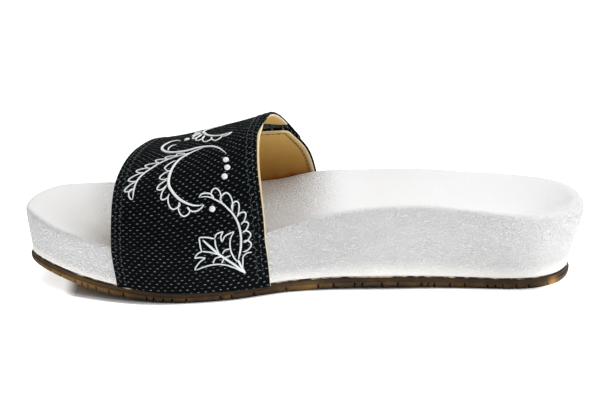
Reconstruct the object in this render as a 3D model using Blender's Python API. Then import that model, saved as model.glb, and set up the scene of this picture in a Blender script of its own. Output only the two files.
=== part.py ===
"""Slide sandal for the right foot.

A footbed wrapped in white grained leather stands on a thin brown rubber outsole. One broad strap
crosses the forefoot. Its medial band rises from the sole, runs over the instep and laps over the
shorter lateral band, where a hook-and-loop strip closes it.

Frame: -X is the toe, +X the heel, -Y the medial side of the foot, +Y the lateral side and +Z is up.
The origin is on the floor under the middle of the sandal. Sizes and tables are in millimetres.
"""

from collections import namedtuple

import bpy
import numpy as np

MM = 0.001
MEDIAL, LATERAL = -1, 1

# Overall sizes
SOLE_LENGTH = 260.0
TOE_X = -SOLE_LENGTH / 2
AXIS_Y = 0.25  # the foot's axis in the frame, which puts the origin in the middle of the box
GAP = 0.35  # between pieces that meet

# Outsole
OUTSOLE_THICKNESS = 5.0
TOE_THINNING = 0.9
TOE_THIN_X = -92.0
OUTSOLE_EDGE = 0.7  # how far the outsole's edge stands out from the footbed's foot
TOE_SPRING = 10.3
SPRING_START_X = -52.0
SPRING_POWER = 1.95
ARCH_LIFT = 1.0
ARCH_FRONT_X, ARCH_REAR_X = -25.0, 90.0
HEEL_LIFT = 1.2
HEEL_FLAT_END_X = 110.0
LUG_HEIGHT = 2.5
LUG_BEVEL = 0.7
LUG_STEP = 0.5  # the band above the lugs is set back by this much
LUG_STEP_RISE = 0.4
NOTCH_WIDTH = 1.2
NOTCH_DEPTH = 2.3
NOTCH_SLOPE = 0.12  # half the run of a notch's side wall
TREAD_PITCH = 31.5
TREAD_NOTCHES = (0.0, 3.4, 6.6, 13.2, 20.6)  # places of the notches in one repeat of the tread
TREAD_START_X = -134.8  # where the first repeat would begin
TREAD_FRONT_X, TREAD_REAR_X = -122.5, 115.0
OUTSOLE_STATIONS = 49

# Footbed
TOE_LEAN, HEEL_LEAN = 2.5, 6.8  # how far the rim overhangs the foot of the wall at the ends
WALL_SWAY = 0.6  # share of S-curve in the wall's profile
CUP_POWER = 1.7  # shape of the slope from the rim down to the bed
SPINE_FRONT, SPINE_REAR = 42.0, 34.0  # the bed's middle line stops this far from toe and heel
FOOTBED_STATIONS = 65
WALL_RISES = (0.0, 0.25, 0.5, 0.75, 1.0)
FOLD_ANGLES = (30, 60, 90)
BED_SHARES = (0.1, 0.24, 0.42, 0.62, 0.82)  # rings of the bed on the way from the rim to its middle

# Strap
STRAP_THICKNESS = 2.1
STRAP_SKIVED = 1.3  # thickness where the strap meets the outsole
TAPE_THICKNESS = 0.7
LAP = STRAP_THICKNESS + TAPE_THICKNESS  # how far the medial band stands off where it laps

PlanRow = namedtuple("PlanRow", "from_toe medial lateral medial_lean lateral_lean")
PLAN = [
    PlanRow(0, 7, -7, 0, 0),
    PlanRow(10, 25, 21.5, 2, 2),
    PlanRow(25, 36, 33, 2.5, 2.5),
    PlanRow(45, 44, 42, 2.5, 3),
    PlanRow(68, 48, 46.5, 2.5, 3),
    PlanRow(95, 44.8, 47.5, 3.5, 3),
    PlanRow(125, 34.5, 43.5, 5, 3.5),
    PlanRow(165, 31, 38, 5.2, 4),
    PlanRow(200, 31.3, 35, 6.8, 5),
    PlanRow(225, 32, 33.6, 6.2, 5.5),
    PlanRow(240, 29, 30, 4, 4.2),
    PlanRow(251, 20.5, 23, 1.2, 1.8),
    PlanRow(260, -1, 1, 0, 0),
]

# Heights of the rim and of the bed's middle line, and the radius of the fold at the rim
HeightRow = namedtuple("HeightRow", "from_toe medial_rim lateral_rim bed fold")
HEIGHTS = [
    HeightRow(0, 35.3, 35.3, 31, 2.2),
    HeightRow(12, 33.5, 35.1, 29.5, 2.2),
    HeightRow(25, 31.6, 33.5, 28, 2.2),
    HeightRow(45, 28.6, 31.2, 25.5, 2.2),
    HeightRow(70, 27, 29.6, 23.5, 2.3),
    HeightRow(95, 28.5, 29.6, 23.8, 2.5),
    HeightRow(115, 32, 31.7, 25.5, 2.5),
    HeightRow(135, 36.6, 36.7, 28, 2.5),
    HeightRow(160, 40.6, 38.9, 30, 2.5),
    HeightRow(182, 41.6, 39.8, 29.5, 2.6),
    HeightRow(210, 39.4, 38.7, 27.5, 3.2),
    HeightRow(232, 37, 38, 26.5, 4),
    HeightRow(250, 36, 37.8, 27, 4.8),
    HeightRow(260, 36.2, 36.2, 28, 5),
]

# Places around the strap, from the medial side of the sole over the foot to the lateral side
MEDIAL_SOLE, MEDIAL_RIM, TOP, LATERAL_RIM, LATERAL_SOLE = 0, 1, 3, 5, 6
# The strap's two edges, as distances from the toe
EdgeRow = namedtuple("EdgeRow", "place front back")
STRAP_EDGES = [
    EdgeRow(0, 44, 113.7),
    EdgeRow(1, 42.1, 111.5),
    EdgeRow(2, 43.2, 108.8),
    EdgeRow(2.5, 46.4, 109.2),
    EdgeRow(3, 51.2, 112.1),
    EdgeRow(3.5, 57.5, 115.7),
    EdgeRow(4, 62, 122),
    EdgeRow(4.5, 64, 131.6),
    EdgeRow(5, 64.5, 135.4),
    EdgeRow(6, 65.5, 136.9),
]
# Arch of the strap over the foot, from front to back: its top and the squareness of its quarters
InstepRow = namedtuple("InstepRow", "across top_y top_z medial_curve lateral_curve")
INSTEP = [
    InstepRow(0, -3, 58.8, 2.1, 1.9),
    InstepRow(0.25, -3, 61.5, 2.4, 1.85),
    InstepRow(0.5, -3, 65.9, 2.6, 1.75),
    InstepRow(0.75, -3, 70, 2.7, 1.72),
    InstepRow(1, -3, 74.6, 2.76, 1.7),
]
LATERAL_BAND_TOP = 3.9
MEDIAL_BAND_END, MEDIAL_BAND_END_BOW = 4.33, 0.12
BAND_STEP = 0.025  # run of the step at a band's end
TAPE_TOP = 3.72
TAPE_SIDE = 0.03  # the tape stops this share of the width short of the strap's edges
STRAP_SECTIONS, TAPE_SECTIONS, TAPE_PLACES = 15, 11, 4
SHARP_ANGLE = 35  # edges sharper than this are not shaded round


def column(table, name):
    return np.array([getattr(row, name) for row in table], float)


def smooth_curve(places, values, at):
    """Cubic curve through the rows that never overshoots them."""
    step = np.diff(places)
    slope = np.diff(values) / step
    tangent = np.empty(len(places))
    tangent[0], tangent[-1] = slope[0], slope[-1]
    mean = (slope[:-1] * step[1:] + slope[1:] * step[:-1]) / (step[1:] + step[:-1])
    limit = 3 * np.minimum(np.abs(slope[:-1]), np.abs(slope[1:]))
    same_way = slope[:-1] * slope[1:] > 0
    tangent[1:-1] = np.where(same_way, np.clip(mean, -limit, limit), 0)
    at = np.clip(at, places[0], places[-1])
    k = np.clip(np.searchsorted(places, at, side="right") - 1, 0, len(step) - 1)
    h, t = step[k], (at - places[k]) / step[k]
    return (
        values[k] * (1 + 2 * t) * (1 - t) ** 2
        + values[k + 1] * t * t * (3 - 2 * t)
        + h * tangent[k] * t * (1 - t) ** 2
        - h * tangent[k + 1] * t * t * (1 - t)
    )


def turn_of(from_toe, length=SOLE_LENGTH):
    """Angle, 0 at the toe and pi at the heel, which makes rounded ends out of smooth tables."""
    return np.arccos(np.clip(1 - 2 * np.asarray(from_toe, float) / length, -1, 1))


def from_table(table, name, turn):
    return smooth_curve(turn_of(column(table, "from_toe")), column(table, name), turn)


def side_column(side, stem):
    """Column of the medial or of the lateral side."""
    words = {"edge": "{}", "lean": "{}_lean", "rim": "{}_rim", "curve": "{}_curve"}
    return words[stem].format("medial" if side == MEDIAL else "lateral")


def sole_rise(x):
    """Height of the outsole's underside: toe spring, arch and rounded heel, flat in between."""
    ahead = np.clip((SPRING_START_X - x) / (SPRING_START_X - TOE_X), 0, None)
    along = np.clip((x - ARCH_FRONT_X) / (ARCH_REAR_X - ARCH_FRONT_X), 0, 1)
    behind = np.clip((x - HEEL_FLAT_END_X) / (-TOE_X - HEEL_FLAT_END_X), 0, None)
    arch = ARCH_LIFT * np.sin(np.pi * along) ** 2
    return TOE_SPRING * ahead**SPRING_POWER + arch + HEEL_LIFT * behind**2


def sole_thickness(x):
    """Thickness of the outsole, thinner under the tip of the toe."""
    ahead = np.clip((TOE_THIN_X - x) / (TOE_THIN_X - TOE_X), 0, None)
    return OUTSOLE_THICKNESS - TOE_THINNING * ahead**2


def wall_share(rise):
    """Share of the overhang reached at a height on the wall, 0 at its foot and 1 at the rim."""
    return WALL_SWAY * rise * rise * (3 - 2 * rise) + (1 - WALL_SWAY) * rise


def wall_ends(rise):
    """X of the wall's foremost and rearmost points at a height."""
    share = wall_share(rise)
    return TOE_X + TOE_LEAN * (1 - share), -TOE_X - HEEL_LEAN * (1 - share)


def wall_plan(turn, rise, side):
    """X and Y of the footbed's side wall."""
    front, rear = wall_ends(rise)
    x = front + (rear - front) * (1 - np.cos(turn)) / 2
    lean = from_table(PLAN, side_column(side, "lean"), turn) * (1 - wall_share(rise))
    return x, AXIS_Y + side * (from_table(PLAN, side_column(side, "edge"), turn) - lean)


def wall_y(x, rise, side):
    """Y of the side wall at a given X."""
    front, rear = wall_ends(rise)
    return wall_plan(turn_of(x - front, rear - front), rise, side)[1]


def rim_fold(turn):
    """Radius of the fold where the cover turns over the rim."""
    return from_table(HEIGHTS, "fold", turn)


def wall_z(x, turn, rise, side):
    """Height of a point on the side wall, whose top is where the fold of the rim begins."""
    foot = sole_rise(x) + sole_thickness(x) + GAP
    rim = from_table(HEIGHTS, side_column(side, "rim"), turn) - rim_fold(turn)
    return foot + (rim - foot) * rise


def both_sides(turns, point_of):
    """Ring of points: from the toe along the medial side to the heel, back along the lateral side."""
    medial = np.stack(point_of(turns, MEDIAL), -1)
    lateral = np.stack(point_of(turns[1:-1][::-1], LATERAL), -1)
    return np.concatenate([medial, lateral])


def make_object(name, points, faces, material):
    """Object of the given points, in millimetres, and faces."""
    mesh = bpy.data.meshes.new(name)
    mesh.from_pydata((np.asarray(points) * MM).tolist(), [], faces)
    mesh.validate()
    mesh.shade_smooth()
    mesh.set_sharp_from_angle(angle=np.radians(SHARP_ANGLE))
    mesh.materials.append(material)
    made = bpy.data.objects.new(name, mesh)
    bpy.context.scene.collection.objects.link(made)
    return made


def make_material(name, colour, roughness):
    material = bpy.data.materials.new(name)
    material.use_nodes = True
    shader = material.node_tree.nodes["Principled BSDF"]
    shader.inputs["Base Color"].default_value = (*colour, 1)
    shader.inputs["Roughness"].default_value = roughness
    shader.inputs["Metallic"].default_value = 0
    return material


def bands(rings):
    """Points of all the rings, and the faces between each ring and the next."""
    count = len(rings[0])
    faces = []
    for low in range(len(rings) - 1):
        for i in range(count):
            after = (i + 1) % count
            here, above = low * count, (low + 1) * count
            faces.append((here + i, here + after, above + after, above + i))
    return np.concatenate(rings), faces


def cross_strips(first, count, facing_up):
    """Faces that close a ring by strips from its medial to its lateral side."""
    half = count // 2
    faces = [(first, first + 1, first + count - 1)]
    for i in range(1, half - 1):
        faces.append((first + i, first + i + 1, first + count - i - 1, first + count - i))
    faces.append((first + half - 1, first + half, first + half + 1))
    return faces if facing_up else [face[::-1] for face in faces]


def notch_places():
    """X of the middle of each notch in the tread."""
    repeats = int((TREAD_REAR_X - TREAD_START_X) / TREAD_PITCH) + 1
    places = [TREAD_START_X + TREAD_PITCH * k + d for k in range(repeats) for d in TREAD_NOTCHES]
    return [x for x in places if TREAD_FRONT_X < x < TREAD_REAR_X]


def tread_stations(front, rear):
    """X stations along the outsole and, for each, whether it lies in a notch."""
    edges = []
    for middle in notch_places():
        for sign, slope, cut in ((-1, -1, 0), (-1, 1, 1), (1, -1, 1), (1, 1, 0)):
            edges.append((middle + sign * NOTCH_WIDTH / 2 + slope * NOTCH_SLOPE, cut))
    turns = np.linspace(0, np.pi, OUTSOLE_STATIONS)
    plain = front + (rear - front) * (1 - np.cos(turns)) / 2
    taken = np.array([x for x, _ in edges])
    kept = [(x, 0) for x in plain if np.abs(taken - x).min() > NOTCH_WIDTH]
    stations = sorted(edges + kept)
    return np.array([x for x, _ in stations]), np.array([cut for _, cut in stations])


def make_outsole(material):
    """Rubber sheet that follows the footbed's outline, with its lugs cut by cross notches."""
    front, rear = wall_ends(0.0)
    front, rear = front - OUTSOLE_EDGE, rear + OUTSOLE_EDGE
    stations, cut = tread_stations(front, rear)
    turns = turn_of(stations - front, rear - front)
    width = np.sin(turns)  # an inset fades out at toe and heel, where the ends move instead

    def ring(inset, height, follows_notch):
        def point_of(at, side):
            x = front + inset + (rear - front - 2 * inset) * (1 - np.cos(at)) / 2
            y = wall_plan(at, 0.0, side)[1] + side * (OUTSOLE_EDGE - inset) * np.interp(at, turns, width)
            notch = np.interp(at, turns, cut) * NOTCH_DEPTH if follows_notch else 0
            return x, y, sole_rise(x) + (height + notch) * sole_thickness(x) / OUTSOLE_THICKNESS

        return both_sides(turns, point_of)

    rings = [
        ring(LUG_BEVEL, 0.0, True),
        ring(0.0, LUG_HEIGHT, False),
        ring(LUG_STEP, LUG_HEIGHT + LUG_STEP_RISE, False),
        ring(LUG_STEP, OUTSOLE_THICKNESS, False),
    ]
    points, faces = bands(rings)
    count = len(rings[0])
    faces += cross_strips(0, count, facing_up=False)
    faces += cross_strips(count * (len(rings) - 1), count, facing_up=True)
    return make_object("outsole", points, faces, material)


def spine_point(turn):
    """Point on the middle line of the bed."""
    front, rear = TOE_X + SPINE_FRONT, -TOE_X - SPINE_REAR
    x = front + (rear - front) * turn / np.pi
    at = turn_of(x - TOE_X)
    middle = from_table(PLAN, "lateral", at) - from_table(PLAN, "medial", at)
    return x, AXIS_Y + middle / 2, from_table(HEIGHTS, "bed", at)


def make_footbed(material):
    """Contoured footbed: leaning side wall, folded rim, heel cup, arch and dished forefoot."""
    turns = np.linspace(0, np.pi, FOOTBED_STATIONS)

    def wall_ring(rise):
        def point_of(at, side):
            x, y = wall_plan(at, rise, side)
            return x, y, wall_z(x, at, rise, side)

        return both_sides(turns, point_of)

    rim = wall_ring(1.0)
    spine = both_sides(turns, lambda at, side: spine_point(at))
    to_spine = spine[:, :2] - rim[:, :2]
    reach = np.linalg.norm(to_spine, axis=1, keepdims=True)
    rings = [wall_ring(rise) for rise in WALL_RISES]
    radius = rim_fold(np.concatenate([turns, turns[1:-1][::-1]]))[:, None]
    for angle in np.radians(FOLD_ANGLES):
        plan = rim[:, :2] + to_spine / reach * radius * (1 - np.cos(angle))
        rings.append(np.column_stack([plan, rim[:, 2:] + radius * np.sin(angle)]))
    edge = rings[-1]
    for share in BED_SHARES:
        plan = edge[:, :2] + (spine[:, :2] - edge[:, :2]) * share
        height = spine[:, 2] + (edge[:, 2] - spine[:, 2]) * (1 - share) ** CUP_POWER
        rings.append(np.column_stack([plan, height]))
    points, faces = bands(rings)
    count, half = len(turns) * 2 - 2, len(turns) - 1
    last = count * (len(rings) - 1)
    middle = len(points)
    points = np.concatenate([points, spine[: half + 1]])
    for i in range(count):
        after = (i + 1) % count
        here_mid, after_mid = min(i, count - i), min(after, count - after)
        faces.append((last + i, last + after, middle + after_mid, middle + here_mid))
    faces += cross_strips(0, count, facing_up=False)
    return make_object("footbed", points, faces, material)


def strap_x(across, place):
    """X of the strap between its front and back edges."""
    rows = column(STRAP_EDGES, "place")
    front = smooth_curve(rows, column(STRAP_EDGES, "front"), place)
    back = smooth_curve(rows, column(STRAP_EDGES, "back"), place)
    return TOE_X + front + (back - front) * across


def instep(across, name):
    return smooth_curve(column(INSTEP, "across"), column(INSTEP, name), across)


def strap_half(across, place, side):
    """Y and Z of the strap's inner face on one side: up the footbed's wall, then over the foot."""
    rim_place = MEDIAL_RIM if side == MEDIAL else LATERAL_RIM
    above = side * (rim_place - place)
    rise = np.clip(1 + above, 0, 1)
    x = strap_x(across, np.where(above < 0, place, rim_place))
    front, rear = wall_ends(rise)
    wall = wall_y(x, rise, side) + side * GAP
    height = wall_z(x, turn_of(x - front, rear - front), rise, side)
    angle = np.clip(above / 2, 0, 1) * np.pi / 2
    power = 2 / instep(across, side_column(side, "curve"))
    top_y = AXIS_Y + instep(across, "top_y")
    y = top_y + (wall - top_y) * np.cos(angle) ** power
    return y, height + (instep(across, "top_z") - height) * np.sin(angle) ** power


def strap_base(across, place):
    """Inner face of the strap."""
    medial, lateral = (strap_half(across, place, side) for side in (MEDIAL, LATERAL))
    y, z = (np.where(place <= TOP, near, far) for near, far in zip(medial, lateral))
    return np.stack([strap_x(across, place), y, z], -1)


def strap_face(across, place, offset):
    """The strap's inner face moved outwards by an offset."""
    nudge = 0.01
    inner = np.clip(across, nudge, 1 - nudge)
    low, high = np.maximum(place - nudge, MEDIAL_SOLE), np.minimum(place + nudge, LATERAL_SOLE)
    along = strap_base(inner + nudge, place) - strap_base(inner - nudge, place)
    around = strap_base(inner, high) - strap_base(inner, low)
    normal = np.cross(along, around)
    normal /= np.linalg.norm(normal, axis=-1, keepdims=True)
    return strap_base(across, place) + normal * np.asarray(offset)[..., None]


def stand_off(place):
    """How far the medial band stands off the foot on its way over the lateral band."""
    t = np.clip((place - TOP) / (LATERAL_BAND_TOP - TOP), 0, 1)
    return LAP * t * t * (3 - 2 * t)


def band_thickness(place):
    """Strap thickness, skived down to the sole on both sides."""
    below_rim = np.clip(np.maximum(MEDIAL_RIM - place, place - LATERAL_RIM), 0, 1)
    return STRAP_THICKNESS + (STRAP_SKIVED - STRAP_THICKNESS) * below_rim


def strap_places(across):
    """Places around the strap for one section, with the two band ends as steps."""
    end = MEDIAL_BAND_END + MEDIAL_BAND_END_BOW * 4 * across * (1 - across)
    stretches = (
        (MEDIAL_SOLE, MEDIAL_RIM, 4),
        (MEDIAL_RIM, TOP, 13),
        (TOP, LATERAL_BAND_TOP, 9),
        (LATERAL_BAND_TOP + BAND_STEP, end, 4),
        (end + BAND_STEP, LATERAL_RIM, 5),
        (LATERAL_RIM, LATERAL_SOLE, 4),
    )
    runs = [np.linspace(*stretch) for stretch in stretches]
    joined = [runs[0], runs[1][1:], runs[2][1:], runs[3], runs[4], runs[5][1:]]
    return np.concatenate(joined), end


def make_band(name, inner_rows, outer_rows, material):
    """Closed wall between an inner and an outer face, each given as rows from front to back."""
    rings = [np.concatenate([inner, outer[::-1]]) for inner, outer in zip(inner_rows, outer_rows)]
    points, faces = bands(rings)
    around = len(rings[0])
    last = around * (len(rings) - 1)
    for i in range(around // 2 - 1):
        cap = (i, i + 1, around - 2 - i, around - 1 - i)
        faces.append(cap[::-1])
        faces.append(tuple(last + k for k in cap))
    return make_object(name, points, faces, material)


def make_strap(material):
    """Both bands of the strap as one wall, joined where they lap, with a step at each band's end."""
    inner_rows, outer_rows = [], []
    for across in np.linspace(0, 1, STRAP_SECTIONS):
        place, end = strap_places(across)
        width = np.full_like(place, across)
        inside = np.where(place <= LATERAL_BAND_TOP, stand_off(place), 0)
        outside = np.where(place <= end, stand_off(place), 0) + band_thickness(place)
        inner_rows.append(strap_face(width, place, inside))
        outer_rows.append(strap_face(width, place, outside))
    return make_band("upper_strap", inner_rows, outer_rows, material)


def make_tape(material):
    """Hook tape under the medial band, just above the end of the lateral band."""
    places = np.linspace(TAPE_TOP, LATERAL_BAND_TOP - BAND_STEP, TAPE_PLACES)
    inner_rows, outer_rows = [], []
    for across in np.linspace(TAPE_SIDE, 1 - TAPE_SIDE, TAPE_SECTIONS):
        width = np.full_like(places, across)
        outer_rows.append(strap_face(width, places, stand_off(places) - GAP))
        inner_rows.append(strap_face(width, places, stand_off(places) - GAP - TAPE_THICKNESS))
    return make_band("hook_tape", inner_rows, outer_rows, material)


def clear_scene():
    for old in list(bpy.data.objects):
        bpy.data.objects.remove(old)


def main():
    clear_scene()
    make_outsole(make_material("brown_rubber", (0.07, 0.04, 0.02), 0.6))
    make_footbed(make_material("white_grained_leather", (0.8, 0.8, 0.79), 0.5))
    make_strap(make_material("black_woven_cloth", (0.012, 0.013, 0.015), 0.85))
    make_tape(make_material("black_hook_tape", (0.01, 0.01, 0.011), 0.9))


if __name__ == "__main__":
    main()
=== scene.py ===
import math
from functools import partial

import bpy
import numpy as np
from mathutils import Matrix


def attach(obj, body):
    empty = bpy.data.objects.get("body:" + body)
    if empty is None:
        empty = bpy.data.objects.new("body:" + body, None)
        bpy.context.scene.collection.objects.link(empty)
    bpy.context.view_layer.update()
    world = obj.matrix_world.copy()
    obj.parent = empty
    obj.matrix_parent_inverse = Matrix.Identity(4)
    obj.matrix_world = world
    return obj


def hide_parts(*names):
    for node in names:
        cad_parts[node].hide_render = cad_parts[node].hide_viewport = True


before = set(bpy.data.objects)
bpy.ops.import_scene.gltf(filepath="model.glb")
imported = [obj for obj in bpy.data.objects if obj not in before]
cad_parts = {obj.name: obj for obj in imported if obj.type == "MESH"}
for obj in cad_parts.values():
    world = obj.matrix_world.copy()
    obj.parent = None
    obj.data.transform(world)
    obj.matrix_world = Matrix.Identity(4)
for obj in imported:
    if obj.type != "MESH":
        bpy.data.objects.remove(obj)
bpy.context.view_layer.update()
mm = 0.001
medial, lateral = -1, 1  # the near side and the far side of a right foot, -Y and +Y
print("frame loaded:", ", ".join(sorted(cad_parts)))

# Sole: toe at -X, heel at +X. Sizes are in millimetres and the meshes are written in metres.
sole = {
    "length": 260.0, "axisY": 0.25, "gap": 0.35,
    "toeLean": 2.5, "heelLean": 6.8, "wallSway": 0.6, "cupPower": 1.7,
    "spineFront": 42.0, "spineRear": 34.0,
    "toeSpring": 10.3, "springFrom": -52.0, "springPower": 1.95,
    "archLift": 1.0, "archFrom": -25.0, "archTo": 90.0,
    "heelLift": 1.2, "heelFlatTo": 110.0,
    "thickness": 5.0, "toeThinning": 0.9, "toeThinFrom": -92.0,
    # from the toe: half widths on the medial and lateral side, then how far the rim overhangs the foot
    "plan": np.array([
        [0, 7, -7, 0, 0], [10, 25, 21.5, 2, 2], [25, 36, 33, 2.5, 2.5], [45, 44, 42, 2.5, 3],
        [68, 48, 46.5, 2.5, 3], [95, 44.8, 47.5, 3.5, 3], [125, 34.5, 43.5, 5, 3.5],
        [165, 31, 38, 5.2, 4], [200, 31.3, 35, 6.8, 5], [225, 32, 33.6, 6.2, 5.5], [240, 29, 30, 4, 4.2],
        [251, 20.5, 23, 1.2, 1.8], [260, -1, 1, 0, 0]]),
    # from the toe: rim heights on the medial and lateral side, height of the bed, radius of the fold
    "heights": np.array([
        [0, 35.3, 35.3, 31, 2.2], [12, 33.5, 35.1, 29.5, 2.2], [25, 31.6, 33.5, 28, 2.2],
        [45, 28.6, 31.2, 25.5, 2.2], [70, 27, 29.6, 23.5, 2.3], [95, 28.5, 29.6, 23.8, 2.5],
        [115, 32, 31.7, 25.5, 2.5], [135, 36.6, 36.7, 28, 2.5], [160, 40.6, 38.9, 30, 2.5],
        [182, 41.6, 39.8, 29.5, 2.6], [210, 39.4, 38.7, 27.5, 3.2], [232, 37, 38, 26.5, 4],
        [250, 36, 37.8, 27, 4.8], [260, 36.2, 36.2, 28, 5]]),
}
toeX = -sole["length"] / 2


# cubic between rows k and k + 1, at a share t of the step between them, with a slope at each row
def cubic(values, slopes, step, k, t):
    return (values[k] * (1 + 2 * t) * (1 - t) ** 2 + values[k + 1] * t * t * (3 - 2 * t)
            + step * slopes[k] * t * (1 - t) ** 2 - step * slopes[k + 1] * t * t * (1 - t))


# cubic through the rows of a table, with slopes held back so that it never overshoots them
def curveThrough(places, values, at):
    step = np.diff(places)
    slope = np.diff(values) / step
    mean = (slope[:-1] * step[1:] + slope[1:] * step[:-1]) / (step[1:] + step[:-1])
    limit = 3 * np.minimum(np.abs(slope[:-1]), np.abs(slope[1:]))
    inner = np.where(slope[:-1] * slope[1:] > 0, np.clip(mean, -limit, limit), 0)
    slopes = np.concatenate([slope[:1], inner, slope[-1:]])
    at = np.clip(at, places[0], places[-1])
    k = np.clip(np.searchsorted(places, at, side="right") - 1, 0, len(step) - 1)
    return cubic(values, slopes, step[k], k, (at - places[k]) / step[k])


# vectors brought to length one
def unit(vectors):
    return vectors / np.linalg.norm(vectors, axis=-1, keepdims=True)


# length run along lines of points, from 0; each step may be raised to a power
def runOf(points, power=1.0):
    steps = np.linalg.norm(np.diff(points, axis=-2), axis=-1) ** power
    return np.concatenate([0 * steps[..., :1], np.cumsum(steps, -1)], -1)


# 0 to 1 in an S between two places
def ease(at, start, end):
    t = np.clip((at - start) / (end - start), 0, 1)
    return t * t * (3 - 2 * t)


# 0 to 1 and back: up in an S between the first two places, down between the last two
def hump(at, start, top, topEnd, end):
    return ease(at, start, top) * (1 - ease(at, topEnd, end))


# angle whose cosine runs from the toe, 0, to the heel, pi: it rounds both ends of a smooth table
def turnOf(fromToe, length=sole["length"]):
    return np.arccos(np.clip(1 - 2 * np.asarray(fromToe, float) / length, -1, 1))


# one column of a table of the sole, at a turn
def soleTable(name, columnAt, turn):
    table = sole[name]
    return curveThrough(turnOf(table[:, 0]), table[:, columnAt], turn)


# underside of the sole: toe spring as a power of the way ahead, arch as a squared sine, heel as a parabola
def soleRise(x):
    ahead = np.clip((sole["springFrom"] - x) / (sole["springFrom"] - toeX), 0, None)
    along = np.clip((x - sole["archFrom"]) / (sole["archTo"] - sole["archFrom"]), 0, 1)
    behind = np.clip((x - sole["heelFlatTo"]) / (-toeX - sole["heelFlatTo"]), 0, None)
    return (sole["toeSpring"] * ahead ** sole["springPower"]
            + sole["archLift"] * np.sin(np.pi * along) ** 2 + sole["heelLift"] * behind ** 2)


# outsole thickness, less a parabola under the toe
def soleThickness(x):
    ahead = np.clip((sole["toeThinFrom"] - x) / (sole["toeThinFrom"] - toeX), 0, None)
    return sole["thickness"] - sole["toeThinning"] * ahead ** 2


# where the footbed's foot stands on the outsole, a hair above it
def soleTop(x):
    return soleRise(x) + soleThickness(x) + sole["gap"]


# share of the overhang at a height on the wall: part straight, part S curve
def wallShare(rise):
    return sole["wallSway"] * ease(rise, 0, 1) + (1 - sole["wallSway"]) * rise


# front and rear of the wall at a height: towards the foot both are set in by their lean
def wallEnds(rise):
    short = 1 - wallShare(rise)
    return toeX + sole["toeLean"] * short, -toeX - sole["heelLean"] * short


# X runs with the cosine of the turn between the two ends, Y is the table's half width less the lean
def wallPlan(turn, rise, side):
    front, rear = wallEnds(rise)
    x = front + (rear - front) * (1 - np.cos(turn)) / 2
    lean = soleTable("plan", 3 if side == medial else 4, turn) * (1 - wallShare(rise))
    return x, sole["axisY"] + side * (soleTable("plan", 1 if side == medial else 2, turn) - lean)


# turn of a place along X, at a height on the wall
def wallTurn(x, rise):
    front, rear = wallEnds(rise)
    return turnOf(x - front, rear - front)


# height on the wall, straight from the top of the outsole to where the fold of the rim begins
def wallZ(x, turn, rise, side):
    foot = soleTop(x)
    rim = soleTable("heights", 1 if side == medial else 2, turn) - soleTable("heights", 4, turn)
    return foot + (rim - foot) * rise


# ring of points: from the toe along the medial side to the heel, and back along the lateral side
def ringOf(turns, pointOf):
    near = np.stack(np.broadcast_arrays(*pointOf(turns, medial)), -1)
    far = np.stack(np.broadcast_arrays(*pointOf(turns[1:-1][::-1], lateral)), -1)
    return np.concatenate([near, far])


# quads between neighbours of a grid of point numbers; a corner that repeats is dropped
def gridFaces(index):
    quads = np.stack([index[:-1, :-1], index[:-1, 1:], index[1:, 1:], index[1:, :-1]], -1)
    return [tuple(dict.fromkeys(quad)) for quad in quads.reshape(-1, 4).tolist()]


# grid whose last column meets its first
def closed(index):
    return np.concatenate([index, index[:, :1]], 1)


def addObject(name, data):
    made = bpy.data.objects.new(name, data)
    bpy.context.scene.collection.objects.link(made)
    return made


# mesh of points in metres, with named numbers for each point
def addMesh(name, points, faces, finish, values):
    mesh = bpy.data.meshes.new(name)
    mesh.from_pydata(points.tolist(), [], faces)
    for key, each in values.items():
        mesh.attributes.new(key, "FLOAT", "POINT").data.foreach_set("value", np.asarray(each, float).ravel())
    mesh.materials.append(finish)
    return addObject(name, mesh)


# piece of points in millimetres; the sum of the corners' triple products tells if it is inside out
def makePiece(name, points, faces, finish, replaced=None, uv=None, values={}):
    points = np.asarray(points, float)
    fans = np.array([(f[0], f[k], f[k + 1]) for f in faces for k in range(1, len(f) - 1)])
    a, b, c = (points[fans[:, k]] - points.mean(0) for k in range(3))
    if np.einsum("ij,ij->", a, np.cross(b, c)) < 0:
        faces = [f[::-1] for f in faces]
    made = addMesh(name, points * mm, faces, finish, values)
    made.data.shade_smooth()
    if uv is not None:
        corners = np.empty(len(made.data.loops), int)
        made.data.loops.foreach_get("vertex_index", corners)
        made.data.uv_layers.new(name="cut").data.foreach_set("uv", np.asarray(uv, float)[corners].ravel())
    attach(made, "root")
    if replaced:
        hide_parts(replaced)
    print(name, len(fans), "triangles")


# sRGB hex to linear, by the usual two-part curve
def linear(hexColour):
    part = np.array([int(hexColour[k:k + 2], 16) / 255 for k in (1, 3, 5)])
    return (*np.where(part <= 0.04045, part / 12.92, ((part + 0.055) / 1.055) ** 2.4), 1.0)


modes = {"Math": "operation", "VectorMath": "operation", "Mix": "data_type", "MapRange": "interpolation_type",
         "Attribute": "attribute_name", "UVMap": "uv_map"}


# adds a node: a word after a colon is its mode; an input is linked where another node or a socket is given
# for it, and else set
def addNode(tree, kind, given={}):
    kind, _, mode = kind.partition(":")
    made = tree.nodes.new("ShaderNode" + kind)
    if mode:
        setattr(made, modes[kind], mode)
    for key, value in given.items():
        if isinstance(value, bpy.types.Node):
            value = next(each for each in value.outputs if each.enabled)
        if isinstance(value, bpy.types.NodeSocket):
            tree.links.new(value, made.inputs[key])
        elif isinstance(key, str) and hasattr(made, key):
            setattr(made, key, value)
        else:
            made.inputs[key].default_value = value
    return made


# colours at places along a ramp
def fillRamp(ramp, stops, reach):
    while len(ramp.elements) < len(stops):
        ramp.elements.new(0.5)
    for element, (place, colour) in zip(ramp.elements, stops):
        element.position, element.color = place / reach, linear(colour)


def newMaterial(name):
    made = bpy.data.materials.new(name)
    made.use_nodes = True
    made.node_tree.nodes.clear()
    return made, partial(addNode, made.node_tree)


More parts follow.
